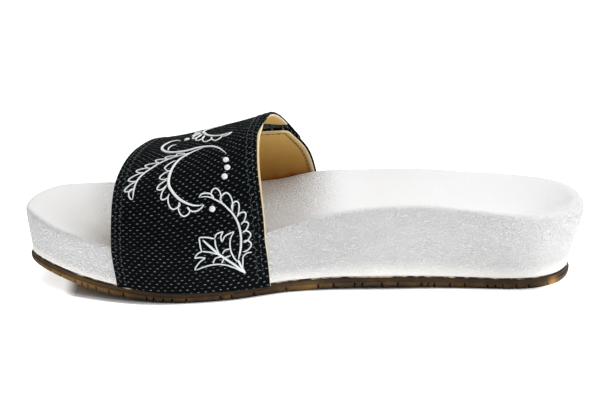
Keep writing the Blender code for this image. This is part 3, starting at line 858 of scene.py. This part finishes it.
# tape: a flat slab under the medial band with domed hooks as a product of two sines
def makeHookTape(finish):
    across = np.linspace(hooks["side"], 1 - hooks["side"], hooks["columns"])
    share = np.linspace(0, 1, hooks["rows"])[:, None]
    top = bands["medialLining"]["end"] - hooks["gap"] - layBack(bands["medialLining"], across)
    foot = hooks["foot"] - layBack(bands["lateral"], across)
    wide, place = np.broadcast_arrays(across, top + (foot - top) * share)
    uv = np.stack([wide * strap["cutWidth"], lengthOf(place)], -1)
    knob = np.abs(np.prod(np.sin(uv / hooks["row"] * np.pi), -1))
    back = strapFace(wide, place, standOff(place) - hooks["back"])
    face = strapFace(wide, place, standOff(place) - hooks["face"] - hooks["hook"] * knob)
    grid = np.arange(wide.size).reshape(wide.shape)
    rim = np.concatenate([grid[0, :-1], grid[:-1, -1], grid[-1, :0:-1], grid[:0:-1, 0], grid[0, :1]])
    faces = [f[::-1] for f in gridFaces(grid)] + gridFaces(grid + wide.size)
    faces += gridFaces(np.stack([rim, rim + wide.size]))
    makePiece("hookTape", np.stack([back, face]).reshape(-1, 3), faces, finish,
              "hook_tape", np.stack([uv, uv]).reshape(-1, 2))


# faces of rings with a point at each end
def tubeFaces(rings, sides):
    last = 1 + rings * sides
    return gridFaces(closed(np.concatenate([
        np.zeros((1, sides), int), np.arange(1, last).reshape(-1, sides), np.full((1, sides), last)])))


# threads: every path is a row of stations on the strap; round each station a flattened ellipse stands
# across the path, its width swelling from a point at both ends
def threadTubes(paths, halfWidth, height, offset, sides=8, blunt=6.0):
    across, place = paths[..., 0], paths[..., 1]
    base = strapFace(across, place, offset(place))
    normal = strapNormal(across, place)
    sideways = np.cross(normal, unit(np.gradient(base, axis=1)))
    many, stations = across.shape
    s = np.linspace(-1, 1, stations)
    swell = ((1 - np.abs(s) ** blunt) ** 0.5)[None, :, None, None]
    theta = np.arange(sides) * 2 * np.pi / sides
    half = np.broadcast_to(halfWidth, (many, stations))[..., None, None]
    ring = (sideways[:, :, None] * (half * np.cos(theta)[:, None])
            + normal[:, :, None] * (height * np.sin(theta)[:, None])) * swell
    inner = (base[:, :, None] + ring)[:, 1:-1].reshape(many, -1, 3)
    points = np.concatenate([base[:, :1], inner, base[:, -1:]], 1)
    run = runOf(base)
    u = np.concatenate([run[:, :1], np.repeat(run[:, 1:-1], sides, 1), run[:, -1:]], 1)
    v = np.concatenate([[0], np.tile(np.cos(theta), stations - 2), [0]])
    uv = np.stack(np.broadcast_arrays(u, v), -1)
    return [(points[k], tubeFaces(stations - 2, sides), uv[k]) for k in range(many)]


# joins several lists of points, faces and coordinates into one piece
def makeThreads(name, parts, finish):
    points, faces, uv = zip(*parts)
    starts = np.cumsum([0] + [len(each) for each in points])
    faces = [tuple(int(start) + c for c in f) for start, part in zip(starts, faces) for f in part]
    makePiece(name, np.concatenate(points), faces, finish, uv=np.concatenate(uv))


# offset of the medial band's outer face
def outside(place):
    return standOff(place) + bandThickness(place)


# smooth line through a few charted points, a cubic spaced evenly by length
def smoothLine(points, count):
    points = np.asarray(points, float)
    reach = runOf(points, 0.7)
    at = np.linspace(0, reach[-1], 400)
    k = np.clip(np.searchsorted(reach, at, side="right") - 1, 0, len(reach) - 2)
    step = np.diff(reach)[k][:, None]
    line = cubic(points, np.gradient(points, reach, axis=0), step, k, (at - reach[k])[:, None] / step)
    run = runOf(line)
    spaced = np.linspace(0, run[-1], count)
    return np.stack([np.interp(spaced, run, line[:, k]) for k in (0, 1)], -1)


# chart to strap: the chart's first number is X from a mark ahead of the middle, the second is length up from
# the sole
def onStrap(chart):
    place = placeOf(chart[..., 1])
    return np.stack([(chart[..., 0] - embroidery["mark"] - strapX(0, place)) / strapWidth(place), place], -1)


# Rayon embroidery thread in satin stitch: white with a soft lustre, its threads lying slantwise across
# each line; their light and dark stripes are painted highlight and painted shade.
embroidery = {
    "light": "#fbfdfd", "dark": "#dde3e3", "pitch": 0.62, "lay": 0.5, "roughness": 0.4,
    "leaf": 0.36, "vein": 0.55, "height": 0.5, "leafHeight": 0.425, "sunk": 0.05, "ragged": 0.2,
    "mark": 52.0,  # the chart's zero, ahead of the sandal's middle
    # stems: half width at the start, middle and end, then points
    "stems": (
        ((0.3, 0.68, 0.4), ((16.5, 64), (14.5, 67.5), (12.3, 70.7), (9, 73.5), (3, 75.2), (-2, 75),
                            (-6, 76.2), (-9.5, 78), (-12.2, 81), (-13.7, 85), (-13.7, 89), (-12.5, 93),
                            (-10, 96.3), (-7.3, 95.8), (-5, 91.5))),
        ((0.3, 0.7, 0.36), ((6, 74), (2, 72.8), (-1.5, 71), (-4.5, 69), (-7, 65.5), (-8.5, 62), (-9.5, 57.5),
                            (-9.4, 54), (-8.3, 51.3), (-6.5, 48.3), (-4, 45.5), (-2, 44), (0.7, 42.4),
                            (3.6, 41.6), (6.2, 41.5))),
        ((0.3, 0.42, 0.4), ((2, 72.4), (-2.2, 71.8), (-6, 72), (-9, 71.5), (-12.5, 70.2), (-15, 68.7),
                            (-17.6, 66.5), (-20.5, 64), (-22.8, 61.2), (-24.2, 58.4), (-25, 55.5),
                            (-25.4, 52.5), (-25.6, 49))),
        ((0.3, 0.46, 0.62), ((3.7, 45.1), (6.3, 45), (8.9, 44.1), (11.2, 42.5), (14.2, 40.2), (16.3, 37.7),
                             (18.6, 34.7), (20.5, 31), (21.6, 27.3), (22.1, 23.7), (22, 20.4), (21.5, 17.4),
                             (20.8, 14.5))),
        ((0.34, 0.72, 0.4), ((18.8, 84.2), (16.4, 83.5), (13.6, 83.5), (10.3, 85.4), (7.9, 88.3), (6, 93),
                             (5, 98.5), (6.2, 102.5), (10, 104.5), (15, 105))),
    ),
    # fine lines: curl, leaves and petals
    "lines": (
        ((-10.7, 81), (-10.3, 85), (-8.8, 87.2), (-6.8, 86.7)),
        ((3.7, 45.1), (5, 46.4), (7, 46.4), (8.8, 45.7), (10, 44.4), (10.5, 42.8)),
        ((-1.5, 42), (-0.3, 40.3), (1.4, 39.4), (3.6, 39.5), (4.8, 40.2), (6.2, 41.5)),
        ((-25.5, 55), (-27, 54), (-27.5, 52), (-26.8, 49.8), (-25.6, 49)),
        ((13.6, 82.3), (15.4, 81), (17.3, 81.8), (18.8, 84.2)),
        ((27, 16.6), (24.8, 16.9), (23.1, 15.8), (22.8, 13), (22.8, 10)),
        ((24, 7), (19, 11), (15.4, 13), (11.6, 14), (7.6, 13.8), (1.5, 11.7)),
        ((1.5, 11.7), (2.3, 13.8), (4.2, 16.3), (6.5, 17.8)), ((6.5, 17.8), (4, 18.3), (1.5, 18)),
        ((1.5, 18), (2.8, 20), (5, 21.2)), ((12.5, 18.7), (8.7, 20.2), (4.7, 21.1)),
        ((4.7, 21.1), (4.1, 24), (3.7, 27.5)), ((3.7, 27.5), (7, 27), (10.6, 25.8)),
        ((10.6, 25.8), (11, 22.8), (12.5, 18.8)), ((10.6, 25.8), (11.3, 27.5), (14.4, 28.3)),
        ((14.4, 28.3), (13.3, 26.2), (13.8, 23.7)), ((13.8, 23.7), (15.1, 26), (19.2, 27.2)),
        ((19.2, 27.2), (17.6, 24.7), (17.3, 21.4), (18.6, 16.8), (20.6, 13.3)),
        ((13.8, 18.7), (15, 20.2), (17.3, 20.4)), ((9.7, 14.6), (10.8, 17.1), (13.4, 17.6)),
        ((13.5, 14), (14.7, 16.5), (17.7, 17.4)),
    ),
    # veins of the leaf, thicker
    "veins": (((5, 26.4), (8.8, 22.4), (12.5, 18.7), (16.5, 15), (19.6, 12), (24, 7)),
              ((20.6, 14.7), (22.4, 10.2), (24, 7))),
    # loops beside a stem: their fullness, then foot, tip and foot of each
    "loops": (
        (0.19, (((-6, 68.5), (-11.5, 64.7), (-8.7, 62.7)), ((-9, 62), (-13.6, 58.9), (-9.7, 58.3)),
               ((-9.7, 57.2), (-14.5, 53), (-10, 54.9)), ((-10.3, 53.7), (-12.5, 47.6), (-9.1, 50)))),
        (0.28, (((-9.2, 49.6), (-7.1, 42), (-5.2, 45.2)), ((-4.9, 44.6), (-2.2, 38), (-1.4, 42.2)))),
        (0.13, (((-2.1, 72), (-6, 74.2), (-6, 72.4)), ((-6, 72.5), (-11.5, 73.5), (-9.7, 71.7)),
                ((-10.5, 71.5), (-16, 72.4), (-13.6, 70)), ((-14.5, 69.7), (-20.7, 69), (-17.7, 66.8)),
                ((-18, 66.8), (-24.7, 65.5), (-20.6, 64.3)), ((-21.5, 63.9), (-28, 59.7), (-23.6, 59.7)),
                ((-24, 58.8), (-29.4, 53.7), (-25, 55.2)))),
        (0.23, (((10.5, 43), (10.7, 47.6), (13.5, 41.4)), ((14.4, 40.2), (15.4, 44.4), (18.4, 35.6)),
                ((18.8, 35.3), (20, 39.5), (20.1, 32.2)), ((20.6, 32.7), (24, 33.7), (21.9, 29.1)),
                ((22.1, 29.4), (25.4, 28.8), (22.4, 25.7)), ((22.7, 25.9), (26.4, 24), (22.9, 21.8)),
                ((22.9, 21.9), (26.6, 20.1), (22.6, 18)))),
        (0.16, (((13.6, 82.4), (11.4, 78.3), (9.4, 85)), ((9.2, 85), (6.8, 79.8), (5.9, 90.4)),
                ((5.7, 91.3), (3, 84.2), (4.8, 94.8)), ((4.7, 94.7), (0.8, 89.2), (4.1, 98)),
                ((4.1, 97), (0.2, 94.7), (4, 99.5)), ((4.1, 98.2), (1.1, 102.3), (4.4, 100.6)))),
    ),
    "dots": ((16, 60.6), (16.6, 56.1), (15.3, 52), (9.7, 38.9), (-2.3, 91.2)),
    "dot": 1.4, "dotHeight": 0.75, "dotSunk": 0.15,
}


# value that passes through three others at the start, middle and end (a parabola)
def bend(s, start, middle, end):
    return start * (1 - s) * (1 - 2 * s) + 4 * middle * s * (1 - s) + end * s * (2 * s - 1)


# loop: out along an axis as a sine, from foot to foot as a cubed cosine, swelling as a doubled sine
def leafLoops(fullness, charted):
    foot, tip, nextFoot = np.moveaxis(np.array(charted, float), 1, 0)[:, :, None]
    axis = tip - (foot + nextFoot) / 2
    swell = fullness * np.stack([axis[..., 1], -axis[..., 0]], -1)
    swell *= np.sign(np.sum(swell * (nextFoot - foot), -1, keepdims=True))
    t = np.linspace(0, np.pi, 25)[:, None]
    return ((foot + nextFoot) / 2 + axis * np.sin(t) + (foot - nextFoot) / 2 * np.cos(t) ** 3
            - swell * np.sin(2 * t))


# thread: painted highlight and painted shade, light and dark by a cosine over its pitch, slanted by its lay
def makeThreadFinish(name, thread):
    made, add = newMaterial(name)
    axes = add("SeparateXYZ", {"Vector": add("UVMap:cut")})
    slanted = add("Math:MULTIPLY_ADD", {0: axes.outputs["Y"], 1: thread["lay"], 2: axes.outputs["X"]})
    lit = add("MapRange", {"From Min": -1.0, "Value": waveOf(add, slanted, thread["pitch"])})
    bump = add("Bump", {"Strength": 0.6, "Distance": 0.12 * mm, "Height": lit})
    colour = layered(add, linear(thread["dark"]), (thread["light"], lit))
    return finishMaterial(made, add, {"Base Color": colour, "Roughness": thread["roughness"], "Normal": bump,
                                      "IOR": 1.5, "Specular IOR Level": 0.3})


# dots: half an ellipsoid on the cloth, rings by sine and cosine of the height angle
def domes(chart, radius, height, sides=16):
    across, place = np.moveaxis(onStrap(np.asarray(chart, float)), -1, 0)
    centre = strapFace(across, place, outside(place) - embroidery["dotSunk"])
    normal = strapNormal(across, place)
    first = unit(np.cross(normal, [0.0, 1.0, 0.3]))
    second = np.cross(normal, first)
    phi = np.arange(sides) * 2 * np.pi / sides
    turned = np.stack([np.cos(phi), np.sin(phi)], -1)
    up = np.array([-0.4, 0.0, 0.25, 0.55, 0.8])[:, None, None]
    uv = np.concatenate([[[0, 0]], np.tile(turned * radius, (len(up), 1)), [[0, 0]]])
    parts = []
    for c, n, a, b in zip(centre, normal, first, second):
        rings = c + (a * turned[:, :1] + b * turned[:, 1:]) * np.sqrt(1 - up ** 2) * radius + n * up * height
        points = np.concatenate([[c - n * 0.5 * height], rings.reshape(-1, 3), [c + n * height]])
        parts.append((points, tubeFaces(len(up), sides), uv))
    return parts


def makeEmbroidery(finish, stations=110):
    low = lambda place: outside(place) - strapLayers["hemRise"] - embroidery["sunk"]
    parts = []
    k = np.arange(stations)
    ragged = 1 + embroidery["ragged"] * np.sin(k * 2.4) * np.cos(k * 0.37)
    for widths, stem in embroidery["stems"]:
        width = bend(np.linspace(0, 1, stations), *widths) * ragged
        parts += threadTubes(onStrap(smoothLine(stem, stations))[None], width, embroidery["height"], low)
    for name, half, height, count in (("lines", "leaf", "leafHeight", 26), ("veins", "vein", "height", 40)):
        lines = np.stack([onStrap(smoothLine(line, count)) for line in embroidery[name]])
        parts += threadTubes(lines, embroidery[half], embroidery[height], low)
    for fullness, charted in embroidery["loops"]:
        loops = onStrap(leafLoops(fullness, charted))
        parts += threadTubes(loops, embroidery["leaf"], embroidery["leafHeight"], low)
    parts += domes(embroidery["dots"], embroidery["dot"], embroidery["dotHeight"])
    makeThreads("embroideredScroll", parts, finish)


# Topstitching: short zigzag stitches at a set distance from an edge, each a small tube lying slantwise.
topstitch = {
    # the light colour is a painted highlight on the black thread, the dark one its own black
    "light": "#667072", "dark": "#0d1012", "pitch": 0.8, "lay": 0.3, "roughness": 0.5,
    "length": 1.9, "gap": 0.3, "half": 0.17, "slant": 0.5,
    # distances from the edge; along the back of the medial band they lie further in, as the cloth does
    "rows": (2.3, 4.7), "furtherIn": 0.9, "sunk": 0.08,
}


# stitches: small round tubes with blunt ends
def stitches(across, place, offset, make):
    return threadTubes(np.stack([across, place], -1), make["half"], make["half"], offset, sides=6, blunt=4.0)


# stitches along an edge: starts are spaced evenly by length, each runs for a stitch's length, and the slant
# changes sides from one to the next
def stitchRow(band, inset, fromBack, offset, make, endGap=6.0):
    total = abs(lengthOf(band["end"]) - lengthOf(band["sole"])) - endGap
    start = np.arange(2.0, total - make["length"], make["length"] + make["gap"])
    along = start[:, None] + np.linspace(0, make["length"], 7)
    place = placeOf(lengthOf(band["sole"]) + np.sign(band["end"] - band["sole"]) * along)
    zigzag = make["slant"] * np.where(np.arange(len(start)) % 2, 1, -1)[:, None] * np.linspace(-1, 1, 7)
    share = (inset + zigzag) / strapWidth(place)
    across = 1 - share if fromBack else share
    return stitches(across, place, offset, make)


def makeTopstitch(finish):
    parts = []
    for name in ("medial", "lateral"):
        band = bands[name]
        top = lambda place: standOff(place) * band["lifted"] + bandThickness(place) - topstitch["sunk"]
        for inset in topstitch["rows"]:
            furtherIn = topstitch["furtherIn"] * band["lifted"]
            parts += stitchRow(band, inset + furtherIn, True, top, topstitch)
            parts += stitchRow(band, inset, False, top, topstitch)
    makeThreads("strapTopstitch", parts, finish)


# Stitches that hold the lateral lining, in brown thread on its inner face.
liningStitch = {
    # the light and dark colours are painted highlight and painted shade on the brown thread
    "light": "#755022", "dark": "#38230c", "pitch": 0.8, "lay": 0.3, "roughness": 0.5,
    "length": 1.5, "gap": 0.7, "half": 0.2, "slant": 0.2, "inset": 2.2, "raised": 0.1,
    "grooveHalf": 0.42, "grooveDepth": 0.3, "grooveDark": 0.75,
    # scallops along the top edge: where they start and end across, their width and depth, how much further in
    "scallops": (5.5, 55.0), "scallop": 4.4, "scallopDepth": 0.5, "scallopIn": 0.2,
}


def makeLiningStitch(finish):
    raised = lambda place: liningStitch["raised"] + 0 * place
    band = bands["lateral"]
    inset = liningStitch["inset"] + strapLayers["lateralClothShown"]
    parts = [each for fromBack in (False, True)
             for each in stitchRow(band, inset, fromBack, raised, liningStitch)]
    # along the lateral band's top edge, in shallow scallops
    start = np.arange(*liningStitch["scallops"], liningStitch["length"] + liningStitch["gap"])
    run = start[:, None] + np.linspace(0, liningStitch["length"], 7)
    across = run / strapWidth(band["end"])
    scallop = liningStitch["scallopDepth"] * np.abs(np.sin(np.pi * run / liningStitch["scallop"]))
    end = band["end"] - layBack(band, across)
    place = placeOf(lengthOf(end) + liningStitch["inset"] + liningStitch["scallopIn"] + scallop)
    parts += stitches(across, place, raised, liningStitch)
    makeThreads("liningStitch", parts, finish)


makeOutsole(makeRubber())
makeFootbed(makeLeather())
makeStrap(makeCloth(), makeLining())
makeHookTape(makeHookFinish())
makeEmbroidery(makeThreadFinish("whiteRayonThread", embroidery))
makeTopstitch(makeThreadFinish("blackPolyesterThread", topstitch))
makeLiningStitch(makeThreadFinish("tanPolyesterThread", liningStitch))

# Studio: white paper floor that glows in places as painted light, white surround and large soft boxes.
studio = {
    "surround": 0.285, "paper": "#ffffff", "floor": 6.0,
    # the paper glows as painted light, less and less towards a box around the sole, in metres
    "glow": 0.34, "soleBox": (0.112, 0.044, 0), "glowFrom": 0.004, "glowTo": 0.032, "farGlow": 0.5,
    # strips ahead of the toe and behind the heel glow more, painted light that keeps them white: between
    # these distances from the middle
    "toeGlow": 0.7, "stripIn": (0.105, 0.113), "stripOut": (0.15, 0.128),
    # glowing card on the floor along the near side, painted light for the wall's foot: its gap at the toe and
    # further back, where that changes along X, its width and its strength
    "cardGap": (3.4, 1.4), "gapFrom": (-82, -52), "cardWidth": 18.0, "card": 1.3,
    # soft boxes: place, size, power in watts; each looks at the shoe
    "boxes": {"topBox": ((0.35, 0.15, 1.25), 1.2, 10.6), "heelBox": ((1.25, -0.45, 0.95), 0.9, 10.4),
              "toeBox": ((-0.5, 0.45, 1.2), 0.9, 4.1)},
}


def makePaper():
    made, add = newMaterial("whitePaper")
    place = add("TexCoord").outputs["Object"]
    fibre = add("TexNoise", {"Scale": 900.0, "Vector": place})
    bump = add("Bump", {"Strength": 0.02, "Distance": 0.1 * mm, "Height": fibre})
    # distance from the box around the sole
    apart = add("VectorMath:ABSOLUTE", {0: place})
    beyond = add("VectorMath:SUBTRACT", {0: apart, 1: studio["soleBox"]})
    far = add("VectorMath:LENGTH", {0: add("VectorMath:MAXIMUM", {0: beyond, 1: (0, 0, 0)})})
    lit = add("MapRange:SMOOTHSTEP", {"From Min": studio["glowFrom"], "From Max": studio["glowTo"],
                                      "To Max": studio["glow"], "Value": far})
    strip = studio["toeGlow"]
    for start, end in (studio["stripOut"], studio["stripIn"]):
        strip = add("MapRange:SMOOTHSTEP", {"From Min": start, "From Max": end, "To Max": strip,
                                            "Value": add("SeparateXYZ", {"Vector": apart})})
    horizon = add("MapRange", {"From Min": 0.3, "From Max": 0.9, "To Max": studio["farGlow"], "Value": far})
    onCard = add("Attribute:lit").outputs["Fac"]
    for more in (strip, horizon, onCard):
        lit = add("Math:ADD", {0: lit, 1: more})
    return finishMaterial(made, add, {
        "Base Color": linear(studio["paper"]), "Roughness": 0.9, "Specular IOR Level": 0.1, "Normal": bump,
        "Emission Color": (1, 1, 1, 1), "Emission Strength": lit})


# glowing card, painted light in the floor: the foot's outline on the near side, moved out row by row; its
# glow fades at its edges
def makeCard(paper):
    turns = np.linspace(0.1 * np.pi, 0.97 * np.pi, 120)
    x, y = wallPlan(turns, 0.0, medial)
    out = unit(np.stack([np.gradient(y), -np.gradient(x)], -1))
    toeGap, gap = studio["cardGap"]
    gap = toeGap + (gap - toeGap) * ease(x, *studio["gapFrom"])
    share = np.linspace(0, 1, 9)[:, None]
    spread = np.stack([x, y], -1) + out * (gap + share * studio["cardWidth"])[..., None]
    lift = np.broadcast_to(0.2 * (1 - share) + 0.002, spread.shape[:2])  # clear of the floor
    points = np.concatenate([spread, lift[..., None]], -1).reshape(-1, 3) * mm
    ends = hump(turns / np.pi, 0.1, 0.24, 0.6, 0.92)
    faces = gridFaces(np.arange(len(points)).reshape(spread.shape[:2]))
    return addMesh("glowCard", points, faces, paper,
                   {"lit": studio["card"] * hump(share, 0, 0.15, 0.5, 1) * ends})


def makeStudio():
    paper = makePaper()
    corners = studio["floor"] * np.array([(-1, -1, 0), (1, -1, 0), (1, 1, 0), (-1, 1, 0)])
    floor = addMesh("paperFloor", corners, [(0, 1, 2, 3)], paper, {})
    card = makeCard(paper)

    world = bpy.data.worlds.new("whiteSurround")
    world.use_nodes = True
    world.node_tree.nodes["Background"].inputs["Color"].default_value = (1, 1, 1, 1)
    world.node_tree.nodes["Background"].inputs["Strength"].default_value = studio["surround"]
    bpy.context.scene.world = world

    for name, (place, size, power) in studio["boxes"].items():
        lamp = bpy.data.lights.new(name, "AREA")
        lamp.size, lamp.energy = size, power
        box = addObject(name, lamp)
        box.location = place
        x, y, z = np.array(place) - np.array([0, 0, 0.03])
        box.rotation_euler = (math.atan2(math.hypot(x, y), z), 0, math.atan2(x, -y))


makeStudio()

# Camera: level with the near side, looking down a little.
camera = {"elevation": 17.5, "target": (-0.0027, 0.0, 0.035), "distance": 1.2, "lens": 154.08}


def makeCamera():
    data = bpy.data.cameras.new("sideCamera")
    data.lens, data.sensor_width = camera["lens"], 36
    made = addObject("sideCamera", data)
    e = math.radians(camera["elevation"])
    x, y, z = camera["target"]
    made.location = (x, y - camera["distance"] * math.cos(e), z + camera["distance"] * math.sin(e))
    made.rotation_euler = (math.pi / 2 - e, 0, 0)
    bpy.context.scene.camera = made
    bpy.context.scene.view_settings.view_transform = "Standard"


makeCamera()
print("studio and camera set")

bpy.context.view_layer.update()
